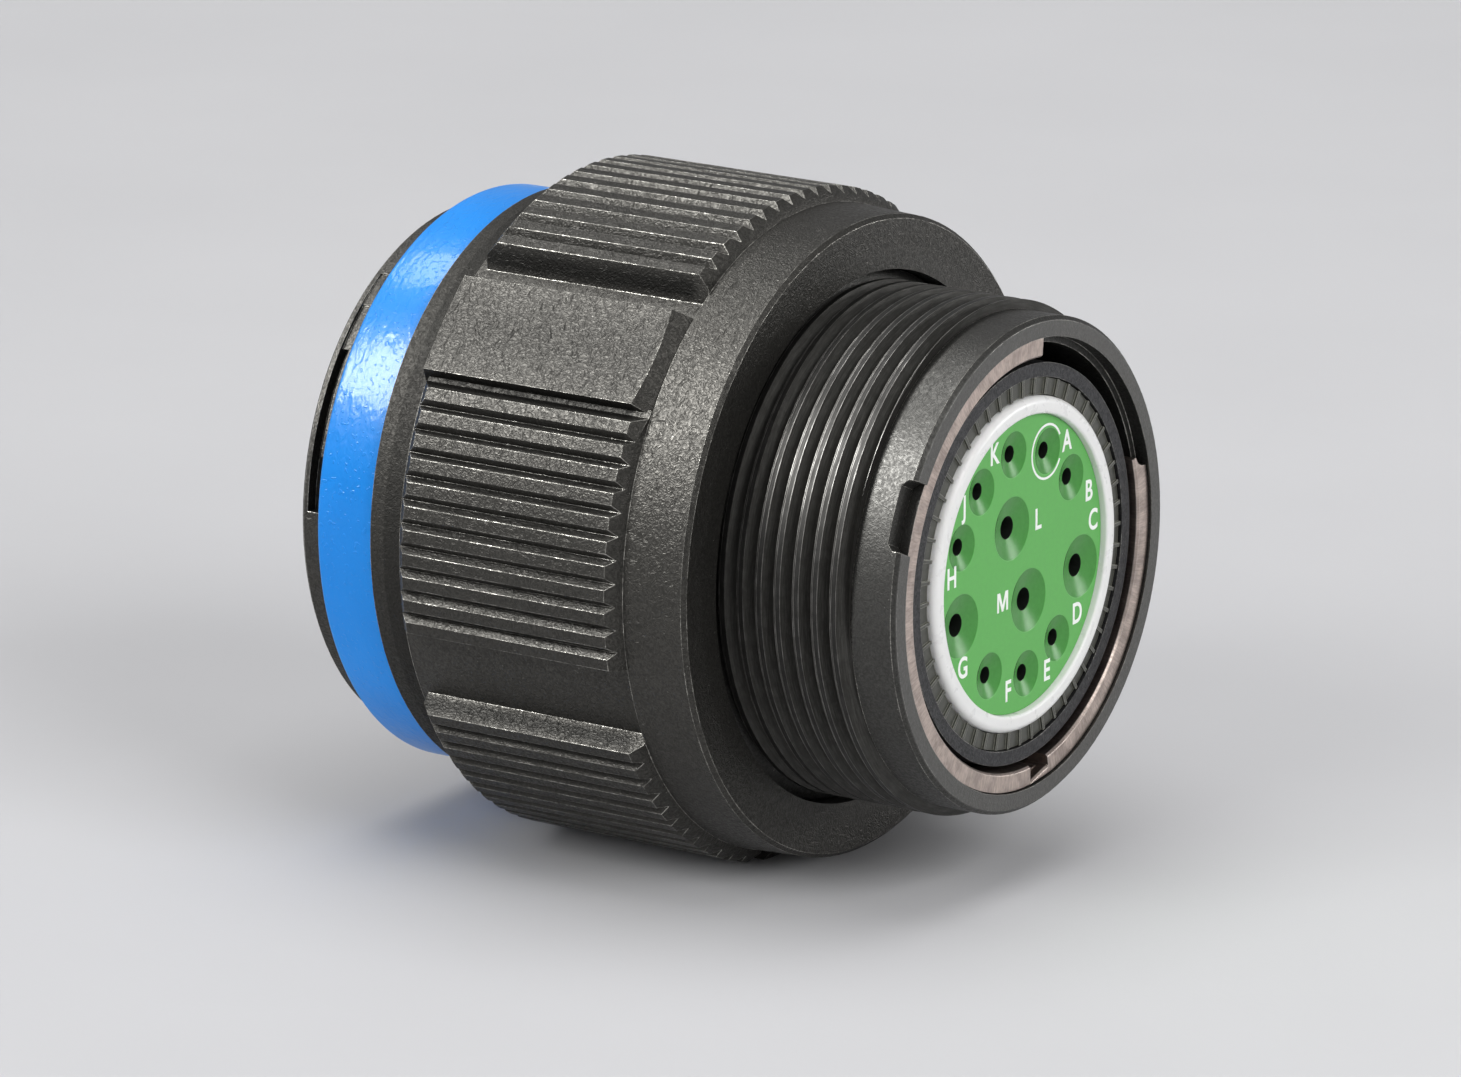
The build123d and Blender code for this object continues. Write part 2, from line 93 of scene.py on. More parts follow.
# Colours of the finishes
nut_colour = (0.0525, 0.0505, 0.0455)
shell_colour = (0.057, 0.056, 0.052)
sleeve_colour = (0.050, 0.050, 0.052)
worn_colour = (0.70, 0.68, 0.62)
# Colour of the painted shade in the nut's grooves and on its front land
painted_shade_colour = (0.014, 0.0135, 0.012)
rubbed_colour = (0.14, 0.138, 0.132)
blue_dark, blue_light = (0.007, 0.250, 0.80), (0.009, 0.280, 0.87)
# Lighter blue of the band's edges, a painted highlight
blue_edge_highlight = (0.16, 0.55, 1.0)
bronze_dark, bronze_light = (0.40, 0.330, 0.292), (0.62, 0.52, 0.465)
bronze_stain, bronze_edge_highlight = (0.20, 0.165, 0.15), (0.72, 0.65, 0.60)
# Darker greens of the funnel walls, painted shade
funnel_shade_dark, funnel_shade_light = (0.052, 0.215, 0.043), (0.060, 0.240, 0.050)
floor_dark, floor_light = (0.57, 0.57, 0.582), (0.59, 0.59, 0.602)


def new_material(name):
    """An empty node material with its Principled shader."""
    material = bpy.data.materials.new(name)
    material.use_nodes = True
    shader = material.node_tree.nodes["Principled BSDF"]
    return material, material.node_tree, shader


def link(tree, source, target):
    tree.links.new(source, target)


def set_inputs(node, values):
    """Plain values for some of a node's inputs."""
    for name, value in values.items():
        node.inputs[name].default_value = value


def tinted(colour, factor):
    """A colour made lighter or darker."""
    return tuple(min(1, part * factor) for part in colour)


def add_noise(tree, size, detail=3.0, roughness=0.5, distortion=0.0, vector=None):
    """Noise with grains of about this size, in the object's coordinates or a given vector."""
    texture = tree.nodes.new("ShaderNodeTexNoise")
    values = {"Scale": 1 / size, "Detail": detail, "Roughness": roughness, "Distortion": distortion}
    set_inputs(texture, values)
    if vector is None:
        vector = tree.nodes.new("ShaderNodeTexCoord").outputs["Object"]
    link(tree, vector, texture.inputs["Vector"])
    return texture.outputs["Fac"]


def add_math(tree, operation, first, second=0.0):
    """A math node on two sockets or numbers."""
    node = tree.nodes.new("ShaderNodeMath")
    node.operation = operation
    for socket, value in zip(node.inputs, (first, second)):
        if isinstance(value, (int, float)):
            socket.default_value = value
        else:
            link(tree, value, socket)
    return node.outputs["Value"]


def multiply(tree, first, second):
    return add_math(tree, "MULTIPLY", first, second)


def add_axis_parts(tree):
    """Place along the axis, distance from it and turn round it, whose seam is at the bottom."""
    parts = tree.nodes.new("ShaderNodeSeparateXYZ")
    link(tree, tree.nodes.new("ShaderNodeTexCoord").outputs["Object"], parts.inputs[0])
    along, y, z = parts.outputs
    square = add_math(tree, "ADD", multiply(tree, y, y), multiply(tree, z, z))
    return along, add_math(tree, "SQRT", square), add_math(tree, "ARCTAN2", y, z)


def add_round_noise(tree, arc_radius, across, around, lengthwise, **settings):
    """Noise that follows a turned surface, with a size of grain for each direction."""
    along, radius, turn = add_axis_parts(tree)
    vector = tree.nodes.new("ShaderNodeCombineXYZ")
    parts = ((radius, across), (turn, around / arc_radius), (along, lengthwise))
    for socket, (value, size) in zip(vector.inputs, parts):
        link(tree, add_math(tree, "DIVIDE", value, size), socket)
    return add_noise(tree, 1.0, vector=vector.outputs[0], **settings)


def add_ramp(tree, source, low, high, low_colour, high_colour):
    """A colour ramp between two places of a value."""
    ramp = tree.nodes.new("ShaderNodeValToRGB")
    first, last = ramp.color_ramp.elements
    first.position, last.position = low, high
    first.color = (*low_colour, 1)
    last.color = (*high_colour, 1)
    link(tree, source, ramp.inputs["Fac"])
    return ramp.outputs["Color"]


def add_range(tree, source, low, high, to_low=0.0, to_high=1.0):
    """A value mapped from one range to another, clamped."""
    mapping = tree.nodes.new("ShaderNodeMapRange")
    values = {"From Min": low, "From Max": high, "To Min": to_low, "To Max": to_high}
    set_inputs(mapping, values)
    link(tree, source, mapping.inputs["Value"])
    return mapping.outputs["Result"]


def add_roughness(tree, shader, source, middle, spread):
    """Roughness that falls as a noise rises, or rises with it where the spread is negative."""
    rough = add_range(tree, source, noise_low, noise_high, middle + spread, middle - spread)
    link(tree, rough, shader.inputs["Roughness"])
    return rough


def mix_colours(tree, factor, first, second):
    """A colour mix of two sockets or plain colours."""
    node = tree.nodes.new("ShaderNodeMix")
    node.data_type = "RGBA"
    link(tree, factor, node.inputs["Factor"])
    for socket, value in ((node.inputs[6], first), (node.inputs[7], second)):
        if isinstance(value, tuple):
            socket.default_value = (*value, 1)
        else:
            link(tree, value, socket)
    return node.outputs[2]


def add_bump(tree, height, strength, distance, normal=None):
    """A bump, distance in metres."""
    bump = tree.nodes.new("ShaderNodeBump")
    set_inputs(bump, {"Strength": strength, "Distance": distance})
    link(tree, height, bump.inputs["Height"])
    if normal is not None:
        link(tree, normal, bump.inputs["Normal"])
    return bump.outputs["Normal"]


def edge_mask(tree, radius, low=0.006, high=0.07):
    """Rounded normal of the edges, and a mask that is 1 on them."""
    bevel = tree.nodes.new("ShaderNodeBevel")
    bevel.samples = 6
    set_inputs(bevel, {"Radius": radius})
    geometry = tree.nodes.new("ShaderNodeNewGeometry")
    product = tree.nodes.new("ShaderNodeVectorMath")
    product.operation = "DOT_PRODUCT"
    link(tree, bevel.outputs["Normal"], product.inputs[0])
    link(tree, geometry.outputs["Normal"], product.inputs[1])
    bend = add_math(tree, "SUBTRACT", 1.0, product.outputs["Value"])
    return bevel.outputs["Normal"], add_range(tree, bend, low, high)


def plated_metal(name, colour, grain, depth, roughness, wear, contrast=1.0):
    """Dark plated metal: fine cast grain with curling lines, light specks and worn edges."""
    curl_fold = 0.06
    curl_share = 0.30
    speck_share = 0.28 * contrast
    polish = 0.10
    material, tree, shader = new_material(name)
    fine = add_noise(tree, grain, detail=1.0, roughness=0.45, distortion=0.6)
    curls = add_noise(tree, 3.0 * grain, detail=1.0, roughness=0.5, distortion=0.5)
    curls = add_math(tree, "DIVIDE", add_math(tree, "PINGPONG", curls, curl_fold), curl_fold)
    curls = multiply(tree, curls, curl_share)
    patches = add_noise(tree, 1.6 * MM, detail=3.0, roughness=0.65)
    specks = add_range(tree, add_noise(tree, 1.1 * grain, detail=1.0), low=0.76, high=0.82)
    mixed = add_math(tree, "ADD", multiply(tree, fine, 1 - curl_share), curls)
    dark, light = tinted(colour, 1 - 0.26 * contrast), tinted(colour, 1 + 0.34 * contrast)
    base = add_ramp(tree, mixed, 0.34, 0.70, dark, light)
    dull = add_range(tree, patches, noise_low, noise_high, to_high=0.25)
    base = mix_colours(tree, dull, base, tinted(colour, 0.75))
    worn = multiply(tree, specks, speck_share)
    rounded = None
    if wear > 0:
        rounded, mask = edge_mask(tree, 0.055 * MM)
        in_patches = add_range(tree, patches, low=0.40, high=0.58, to_low=0.20)
        in_grain = add_range(tree, fine, low=0.38, high=0.55, to_low=0.40)
        mask = multiply(tree, multiply(tree, mask, in_patches), in_grain)
        worn = add_math(tree, "MAXIMUM", worn, multiply(tree, mask, wear))
    link(tree, mix_colours(tree, worn, base, worn_colour), shader.inputs["Base Color"])
    set_inputs(shader, {"Metallic": 0.82})
    rough = add_roughness(tree, shader, fine, roughness, 0.08)
    rough = add_math(tree, "SUBTRACT", rough, multiply(tree, worn, polish))
    link(tree, rough, shader.inputs["Roughness"])
    height = add_math(tree, "ADD", fine, curls)
    surface = add_bump(tree, height, strength=0.8, distance=depth, normal=rounded)
    link(tree, surface, shader.inputs["Normal"])
    return material


def turned_metal(name, dark, light, roughness):
    """Smooth metal with fine turning lines round the axis."""
    material, tree, shader = new_material(name)
    lines = add_round_noise(
        tree, thread_crest, 0.1 * MM, 1.2 * MM, 0.06 * MM, roughness=0.6, distortion=0.3
    )
    cloud = add_noise(tree, 0.5 * MM, roughness=0.65)
    base = add_ramp(tree, lines, 0.35, 0.65, dark, light)
    base = mix_colours(tree, add_range(tree, cloud, low=0.45, high=0.62, to_high=0.6), base, dark)
    link(tree, base, shader.inputs["Base Color"])
    set_inputs(shader, {"Metallic": 0.80})
    add_roughness(tree, shader, lines, roughness, 0.06)
    surface = add_bump(tree, lines, strength=0.5, distance=0.004 * MM)
    link(tree, surface, shader.inputs["Normal"])
    return material


def first_node(tree, kind):
    """The first node of a kind."""
    return next(node for node in tree.nodes if node.bl_idname == kind)


def cover(tree, shader, factor, colour):
    """A colour laid over what the shader's base colour shows so far."""
    painted = shader.inputs["Base Color"].links[0].from_socket
    link(tree, mix_colours(tree, factor, painted, colour), shader.inputs["Base Color"])


def groove_shade_mask(tree, along, radius):
    """Mask of the painted shade between the ridges, which thins towards their crests."""
    fade_start, fade_end = grip_rear - 1.0 * MM, grip_rear - 0.5 * MM
    floor_start, floor_end = recess_floor + 0.05 * MM, recess_floor + 0.3 * MM
    crest_start, crest_end = grip_crest - 0.42 * MM, grip_crest - 0.03 * MM
    thick, thin = 0.92, 0.18
    in_grip = add_range(tree, along, fade_start, fade_end, to_low=1.0, to_high=0.0)
    behind_land = add_math(tree, "GREATER_THAN", along, front_land_start)
    above_floor = add_range(tree, radius, floor_start, floor_end)
    below_crest = add_range(tree, radius, crest_start, crest_end, to_low=thick, to_high=thin)
    in_grip = multiply(tree, in_grip, behind_land)
    return multiply(tree, in_grip, multiply(tree, above_floor, below_crest))


def shade_strip_mask(tree, along, radius):
    """Mask of the painted shade in a darker strip of the front land, next to the grip."""
    strip_start, strip_end = grip_front - 1.50 * MM, grip_front - 1.38 * MM
    strip_shade = 0.72
    land_limit = recess_floor - 0.3 * MM
    front_limit = grip_front + 0.02 * MM
    strip = add_range(tree, along, strip_start, strip_end, to_high=strip_shade)
    on_surface = add_math(tree, "LESS_THAN", radius, land_limit)
    before_grip = add_math(tree, "LESS_THAN", along, front_limit)
    return multiply(tree, multiply(tree, strip, on_surface), before_grip)


def hide_joint(tree, along, radius):
    """No worn edge where the nut's rear face meets the flush retaining ring."""
    near_face = add_math(tree, "GREATER_THAN", along, nut_rear - 0.3 * MM)
    near_ring = add_math(tree, "LESS_THAN", radius, flange_bore_radius + 0.4 * MM)
    blend = tree.nodes.new("ShaderNodeMix")
    blend.data_type = "VECTOR"
    link(tree, multiply(tree, near_face, near_ring), blend.inputs["Factor"])
    link(tree, first_node(tree, "ShaderNodeBevel").outputs["Normal"], blend.inputs[4])
    link(tree, tree.nodes.new("ShaderNodeNewGeometry").outputs["Normal"], blend.inputs[5])
    link(tree, blend.outputs[1], first_node(tree, "ShaderNodeVectorMath").inputs[0])
    link(tree, blend.outputs[1], first_node(tree, "ShaderNodeBump").inputs["Normal"])


def nut_plating():
    """The nut's plating, with painted shade in its grooves, on its front land and in a strip beside
    the grip.
    """
    # Share of the painted shade laid over the whole front land
    land_shade = 0.38
    land_roughness = 0.16
    material = plated_metal(
        "nut_metal", nut_colour, plating_grain, 0.034 * MM, plating_roughness, wear=1.0
    )
    tree = material.node_tree
    shader = tree.nodes["Principled BSDF"]
    along, radius, _ = add_axis_parts(tree)
    on_land = add_math(tree, "LESS_THAN", along, front_land_start)
    on_land = multiply(tree, on_land, add_math(tree, "GREATER_THAN", along, front_land_end))
    # Painted shade laid over the base colour in the grooves, on the front land and in the strip
    # beside the grip
    painted_shade = groove_shade_mask(tree, along, radius)
    painted_shade = add_math(tree, "MAXIMUM", painted_shade, multiply(tree, on_land, land_shade))
    painted_shade = add_math(tree, "MAXIMUM", painted_shade, shade_strip_mask(tree, along, radius))
    cover(tree, shader, painted_shade, painted_shade_colour)
    rough = shader.inputs["Roughness"].links[0].from_socket
    rough = add_math(tree, "ADD", rough, multiply(tree, on_land, land_roughness))
    link(tree, rough, shader.inputs["Roughness"])
    hide_joint(tree, along, radius)
    return material


def shell_plating():
    """The shell's plating, smooth and rubbed lighter on its rear rim."""
    rim_start, rim_end = rear_rim - 0.06 * MM, rear_rim - 0.01 * MM
    rubbed_share = 0.6
    material = plated_metal(
        "shell_metal", shell_colour, plating_grain, 0.015 * MM, plating_roughness,
        wear=0.9, contrast=0.8,
    )
    tree = material.node_tree
    along, _, _ = add_axis_parts(tree)
    rubbed = add_range(tree, along, rim_start, rim_end, to_high=rubbed_share)
    cover(tree, tree.nodes["Principled BSDF"], rubbed, rubbed_colour)
    return material


def lacquer_material():
    """Thick glossy blue lacquer with brush waves, small bubbles and a painted highlight on its
    edges.
    """
    band_radius = 13.7 * MM
    highlight_share = 0.7
    streak_share, bubble_share = 0.30, 0.45
    material, tree, shader = new_material("blue_lacquer")
    rounded, mask = edge_mask(tree, 0.10 * MM)
    waves = add_round_noise(
        tree, band_radius, 1.0 * MM, 0.8 * MM, 0.4 * MM, detail=2.0, distortion=0.7
    )
    streaks = add_round_noise(
        tree, band_radius, 1.0 * MM, 5.0 * MM, 0.22 * MM, detail=1.0, distortion=0.4
    )
    bubbles = add_range(tree, add_noise(tree, 0.20 * MM, detail=0.0), low=0.69, high=0.75)
    tone = add_noise(tree, 5 * MM, detail=2.0)
    base = add_ramp(tree, tone, noise_low, noise_high, blue_dark, blue_light)
    # Painted highlight: the edges mix towards a lighter blue
    base = mix_colours(tree, multiply(tree, mask, highlight_share), base, blue_edge_highlight)
    link(tree, base, shader.inputs["Base Color"])
    gloss = {
        "Roughness": 0.34, "Specular IOR Level": 0.18, "Coat Weight": 0.20, "Coat Roughness": 0.11,
    }
    set_inputs(shader, gloss)
    height = add_math(tree, "ADD", waves, multiply(tree, streaks, streak_share))
    height = add_math(tree, "ADD", height, multiply(tree, bubbles, bubble_share))
    surface = add_bump(tree, height, strength=0.65, distance=0.045 * MM, normal=rounded)
    link(tree, surface, shader.inputs["Normal"])
    link(tree, surface, shader.inputs["Coat Normal"])
    return material


def plain_material(
    name, colour, roughness, grain, depth, variation=0.08, metallic=0.0, edge=None, gloss=0.5
):
    """A finish with fine grain, a slightly varied colour and, where given, lighter edges."""
    material, tree, shader = new_material(name)
    fine = add_noise(tree, grain, roughness=0.6)
    low, high = tinted(colour, 1 - variation), tinted(colour, 1 + variation)
    base = add_ramp(tree, fine, noise_low, noise_high, low, high)
    rounded = None
    if edge is not None:
        rounded, mask = edge_mask(tree, 0.05 * MM)
        base = mix_colours(tree, mask, base, edge)
    link(tree, base, shader.inputs["Base Color"])
    add_roughness(tree, shader, fine, roughness, -0.05)
    set_inputs(shader, {"Metallic": metallic, "Specular IOR Level": gloss})
    surface = add_bump(tree, fine, strength=0.5, distance=depth, normal=rounded)
    link(tree, surface, shader.inputs["Normal"])
    return material


def bronze_material():
    """Brushed bronze with a pinkish tone and edges painted lighter as a highlight."""
    ring_radius = 10.1 * MM
    highlight_share = 0.7
    material, tree, shader = new_material("bronze")
    rounded, mask = edge_mask(tree, 0.06 * MM)
    brushed = add_round_noise(
        tree, ring_radius, 0.5 * MM, 0.09 * MM, 0.5 * MM, roughness=0.6, distortion=0.2
    )
    cloud = add_noise(tree, 0.9 * MM, roughness=0.6)
    base = add_ramp(tree, brushed, noise_low, noise_high, bronze_dark, bronze_light)
    stained = add_range(tree, cloud, low=0.42, high=0.62, to_high=0.45)
    base = mix_colours(tree, stained, base, bronze_stain)
    # Painted highlight: the edges mix towards a lighter bronze
    base = mix_colours(tree, multiply(tree, mask, highlight_share), base, bronze_edge_highlight)
    link(tree, base, shader.inputs["Base Color"])
    set_inputs(shader, {"Metallic": 1.0})
    add_roughness(tree, shader, brushed, 0.36, 0.06)
    surface = add_bump(tree, brushed, strength=0.5, distance=0.006 * MM, normal=rounded)
    link(tree, surface, shader.inputs["Normal"])
    return material


def white_material():
    """Smooth white plastic that lets a little light through."""
    white = (0.72, 0.72, 0.71)
    material = plain_material("white_plastic", white, 0.30, 0.6 * MM, 0.003 * MM, 0.015)
    glow = {
        "Subsurface Weight": 0.25,
        "Subsurface Radius": (0.5 * MM, 0.5 * MM, 0.45 * MM),
        "Subsurface Scale": 1.0,
    }
    set_inputs(material.node_tree.nodes["Principled BSDF"], glow)
    return material


def shaded_funnel_material():
    """The smoother wall of the wire holes' funnels, in a darker green that is painted shade."""
    material, tree, shader = new_material("funnel_green_painted_shade")
    fine = add_noise(tree, 0.2 * MM, detail=2.0)
    base = add_ramp(tree, fine, noise_low, noise_high, funnel_shade_dark, funnel_shade_light)
    link(tree, base, shader.inputs["Base Color"])
    set_inputs(shader, {"Roughness": 0.26, "Specular IOR Level": 0.3})
    surface = add_bump(tree, fine, strength=0.25, distance=0.003 * MM)
    link(tree, surface, shader.inputs["Normal"])
    return material


materials = {
    "nut_metal": nut_plating(),
    "shell_metal": shell_plating(),
    "sleeve_metal": plated_metal(
        "sleeve_metal", sleeve_colour, 0.16 * MM, 0.02 * MM, 0.52, wear=0.45, contrast=0.8
    ),
    "band_lacquer": lacquer_material(),
    "bronze": bronze_material(),
    "spring_steel": plain_material(
        "spring_steel", (0.5, 0.5, 0.5), 0.35, 0.3 * MM, 0.003 * MM, 0.1, metallic=1.0
    ),
    "ground_spring": plain_material(
        "ground_spring", (0.6, 0.56, 0.48), 0.35, 0.3 * MM, 0.003 * MM, 0.1, metallic=1.0
    ),
    "seal_rubber": plain_material("seal_rubber", (0.25, 0.07, 0.05), 0.6, 0.3 * MM, 0.006 * MM),
    "fin_plastic": plain_material(
        "fin_plastic", (0.050, 0.051, 0.042), 0.36, 0.25 * MM, 0.008 * MM, 0.25,
        edge=(0.24, 0.24, 0.20),
    ),
    "white_plastic": white_material(),
    "green_rubber": plain_material(
        "green_rubber", (0.118, 0.385, 0.100), 0.50, 0.22 * MM, 0.004 * MM, 0.04, gloss=0.2
    ),
    "insert_plastic": plain_material(
        "insert_plastic", (0.05, 0.05, 0.052), 0.5, 0.2 * MM, 0.006 * MM, 0.15
    ),
    "contact_gold": plain_material(
        "contact_gold", (0.83, 0.62, 0.25), 0.28, 0.2 * MM, 0.002 * MM, 0.06, metallic=1.0
    ),
}
thread_flank = turned_metal("thread_flank", (0.042, 0.041, 0.037), (0.070, 0.068, 0.063), 0.52)
thread_crest_metal = turned_metal(
    "thread_crest", (0.018, 0.0175, 0.016), (0.038, 0.037, 0.035), 0.50
)
thread_edge = turned_metal("thread_edge", (0.06, 0.058, 0.054), (0.19, 0.185, 0.175), 0.44)
ring_joint_metal = plated_metal(
    "ring_joint_metal", nut_colour, plating_grain, 0.02 * MM, 0.42, wear=0.0
)
# Black of the wire bores, painted shade deep in the holes
bore_shade_black = plain_material("bore_shade_black", (0.006, 0.008, 0.006), 0.6, 0.2 * MM, 0.002 * MM)
letter_ink = plain_material("letter_ink", (0.82, 0.84, 0.81), 0.5, 0.1 * MM, 0.002 * MM, 0.03)


def soft_shading_group():
    """Geometry nodes that join split corners and shade smooth up to a certain edge angle."""
    corner_gap = 0.0005 * MM
    sharp_angle = math.radians(32)
    group = bpy.data.node_groups.new("soft_shading", "GeometryNodeTree")
    group.interface.new_socket("Geometry", in_out="INPUT", socket_type="NodeSocketGeometry")
    group.interface.new_socket("Geometry", in_out="OUTPUT", socket_type="NodeSocketGeometry")
    entry = group.nodes.new("NodeGroupInput")
    exit_node = group.nodes.new("NodeGroupOutput")
    merge = group.nodes.new("GeometryNodeMergeByDistance")
    set_inputs(merge, {"Distance": corner_gap})
    smooth = group.nodes.new("GeometryNodeSetShadeSmooth")
    sharp = group.nodes.new("GeometryNodeSetShadeSmooth")
    sharp.domain = "EDGE"
    set_inputs(sharp, {"Shade Smooth": False})
    angle = group.nodes.new("GeometryNodeInputMeshEdgeAngle")
    compare = group.nodes.new("FunctionNodeCompare")
    compare.operation = "GREATER_THAN"
    set_inputs(compare, {"B": sharp_angle})
    link(group, entry.outputs[0], merge.inputs["Geometry"])
    link(group, merge.outputs["Geometry"], smooth.inputs["Geometry"])
    link(group, smooth.outputs["Geometry"], sharp.inputs["Geometry"])
    link(group, angle.outputs["Unsigned Angle"], compare.inputs["A"])
    link(group, compare.outputs["Result"], sharp.inputs["Selection"])
    link(group, sharp.outputs["Geometry"], exit_node.inputs[0])
    return group


shading = soft_shading_group()


def shade_softly(piece):
    """Adds the shared smoothing to a piece."""
    modifier = piece.modifiers.new("soft_shading", "NODES")
    modifier.node_group = shading


slot_of = {entry["node"]: entry["material_slot"] for entry in frame["record"]["subparts"]}
for name, piece in nodes.items():
    piece.data.materials.clear()
    piece.data.materials.append(materials[slot_of[name]])
    shade_softly(piece)
nodes["nut_retaining_ring"].data.materials[0] = ring_joint_metal


def add_piece(name, build, slot, body, *finishes):
    """A new piece from a finished bmesh, which rides on a body."""
    mesh = bpy.data.meshes.new(name)
    build.to_mesh(mesh)
    build.free()
    piece = bpy.data.objects.new(name, mesh)
    bpy.context.scene.collection.objects.link(piece)
    for finish in finishes or (materials[slot],):
        mesh.materials.append(finish)
    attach(piece, body)
    return piece


def on_circle(station, radius, turn, centre=(0, 0)):
    """Point at a station, on a circle across the axis, at an angle from +Y towards +Z."""
    return (station, centre[0] + radius * math.cos(turn), centre[1] + radius * math.sin(turn))


def quarter_turns(steps):
    """Angles from 0 to a right angle."""
    return [math.pi / 2 * step / steps for step in range(steps + 1)]


def join_sections(build, sections, closed=True, profile_closed=True):
    """Faces between neighbouring sections of equal length, in the order of their points."""
    faces = []
    pairs = list(zip(sections, sections[1:]))
    if closed:
        pairs.append((sections[-1], sections[0]))
    for here, after in pairs:
        count = len(here)
        for i in range(count if profile_closed else count - 1):
            j = (i + 1) % count
            faces.append(build.faces.new((here[i], here[j], after[j], after[i])))
    return faces


def smooth_faces(build):
    for face in build.faces:
        face.smooth = True


def mark_sharp(build, ring):
    """Sharp edges along a closed ring of vertices."""
    for first, second in zip(ring, ring[1:] + ring[:1]):
        build.edges.get((first, second)).smooth = False


def lathe(name, profile, slot, body, segments=360):
    """A ring turned about the X axis from a closed list of (station, radius) points."""
    build = bmesh.new()
    sections = []
    for step in range(segments):
        turn = 2 * math.pi * step / segments
        sections.append([build.verts.new(on_circle(x, r, turn)) for x, r in profile])
    join_sections(build, sections)
    bmesh.ops.recalc_face_normals(build, faces=build.faces)
    smooth_faces(build)
    piece = add_piece(name, build, slot, body)
    shade_softly(piece)
    return piece


# Nut with the V grooves between its ridges, angles in degrees from +Y towards +Z
ridge_pitch = 4.0
groove_runs = ((62.0, 15), (153.0, 10), (211.6, 11))  # first groove and count, on the left side
groove_reach = 0.2
groove_radius = 15.56 * MM
groove_inset = 0.17 * MM
solid_groove_radius = 15.3 * MM


def make_nut():
    """The nut's own mesh, with the grooves between its ridges opened to a flatter V."""
    build = bmesh.new()
    build.from_mesh(nodes["coupling_nut"].data)
    grooves = [start + i * ridge_pitch for start, count in groove_runs for i in range(count)]
    grooves += [(180 - groove) % 360 for groove in grooves]
    middle = (grip_front + grip_rear) / 2
    margin = 0.01 * MM
    lowest, highest = solid_groove_radius - margin, solid_groove_radius + 0.08 * MM
    for vertex in build.verts:
        x, y, z = vertex.co
        turn = math.degrees(math.atan2(z, y)) % 360
        near = min(grooves, key=lambda groove: abs(groove - turn))
        in_groove = lowest < math.hypot(y, z) < highest and abs(near - turn) < groove_reach
        if in_groove and grip_front < x < grip_rear + margin:
            station = x + math.copysign(groove_inset, middle - x)
            vertex.co = on_circle(station, groove_radius, math.radians(near))
    bmesh.ops.dissolve_degenerate(build, edges=build.edges, dist=weld_gap)
    piece = add_piece("ridged_nut", build, "nut_metal", "nut")
    shade_softly(piece)
    return piece


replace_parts(make_nut(), "coupling_nut")


def make_band():
    """Blue band with rounded edges."""
    low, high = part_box("colour_band")
    rounding = 0.16 * MM
    inner = 13.37 * MM
    corner = [
        (rounding * (1 - math.cos(turn)), rounding * (1 - math.sin(turn)))
        for turn in quarter_turns(6)
    ]
    profile = [(low.x, inner)]
    profile += [(low.x + back, high.y - drop) for back, drop in corner]
    profile += [(high.x - back, high.y - drop) for back, drop in reversed(corner)]
    profile.append((high.x, inner))
    return lathe("blue_band", profile, "band_lacquer", "nut")


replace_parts(make_band(), "colour_band")


def make_white_ring():
    """White ring with a full outer rounding and a small inner one."""
    low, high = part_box("grommet_ferrule")
    inner = 7.0 * MM
    outer_curve, inner_curve = 0.34 * MM, 0.14 * MM
    quarter = quarter_turns(7)
    profile = [(low.x, inner), (low.x, high.y)]
    profile += [
        (high.x - outer_curve * (1 - math.sin(turn)), high.y - outer_curve * (1 - math.cos(turn)))
        for turn in quarter
    ]
    profile += [
        (high.x - inner_curve * (1 - math.cos(turn)), inner + inner_curve * (1 - math.sin(turn)))
        for turn in quarter
    ]
    return lathe("white_ring", profile, "white_plastic", "plug")


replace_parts(make_white_ring(), "grommet_ferrule")


# Shell with its cut thread
def thread_radius(place):
    """Radius of the thread at a place counted in pitches from the middle of a crest."""
    first = thread_shape[0][0]
    place = (place - first) % 1.0 + first
    shape = list(thread_shape) + [(first + 1.0, thread_shape[0][1])]
    for (start, start_depth), (end, end_depth) in zip(shape, shape[1:]):
        if place <= end:
            share = (place - start) / (end - start)
            return thread_crest - thread_depth * (start_depth + share * (end_depth - start_depth))
    return thread_crest - thread_depth * shape[-1][1]


def thread_section(turn):
    """Points of the thread's outline at one angle, clamped to its two ends."""
    shift = thread_phase + turn / (2 * math.pi)
    reach = round(thread_half_length / thread_pitch) + 2
    points = []
    for lap in range(-reach, reach + 1):
        for place, share in thread_shape:
            station = (lap + place + shift) * thread_pitch
            clamped = max(-thread_half_length, min(thread_half_length, station))
            radius = thread_crest - thread_depth * share
            if clamped != station:
                radius = thread_radius(clamped / thread_pitch - shift)
            points.append((clamped, radius))
    front, rear = (-thread_half_length, thread_root_limit), (thread_half_length, thread_pilot)
    return [front, *points, rear]


